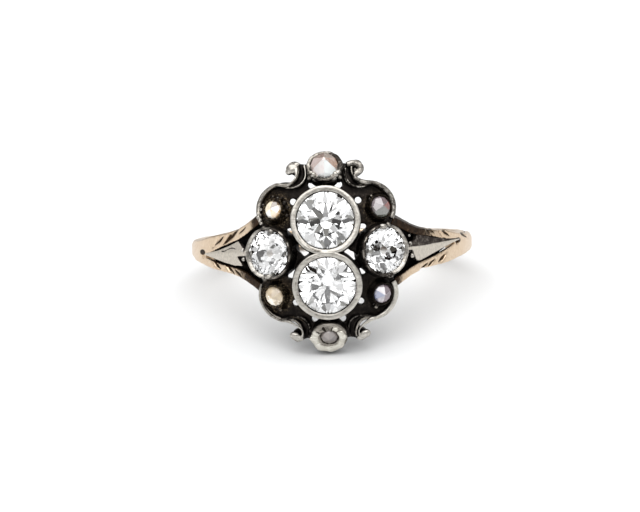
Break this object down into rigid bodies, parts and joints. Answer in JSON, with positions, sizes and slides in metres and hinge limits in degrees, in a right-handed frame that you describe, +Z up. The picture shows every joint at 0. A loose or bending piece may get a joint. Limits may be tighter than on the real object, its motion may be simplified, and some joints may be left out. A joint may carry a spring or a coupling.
{
  "type": "finger ring",
  "caption": "Antique cluster ring: a yellow gold hoop with forked, notched shoulders and a domed, pierced silver head of scrolls, set with brilliants and rose-cut stones.",
  "frame": {"origin": "centre of the ring's box, on the floor that it rests on", "axes": "+Z up. The head faces -Y and is tipped up, because the ring rests on the lower end of its head and on the back of its hoop. +X is to the right as the head is seen from its front. The finger axis leans 17.8 degrees from +Z towards +Y"},
  "size_m": [0.0192, 0.0224, 0.0134],
  "materials": {
    "gold": "worn polish, dark in the engraved cuts",
    "silver": "blackened, polished by wear on its edges",
    "stone": "cut and polished"
  },
  "bodies": {
    "root": {"shank": "gold", "setting": "silver", "upper_diamond": "stone", "lower_diamond": "stone", "left_diamond": "stone", "right_diamond": "stone", "top_rose": "stone", "bottom_rose": "stone", "upper_left_rose": "stone", "upper_right_rose": "stone", "lower_left_rose": "stone", "lower_right_rose": "stone"}
  },
  "joints": []
}
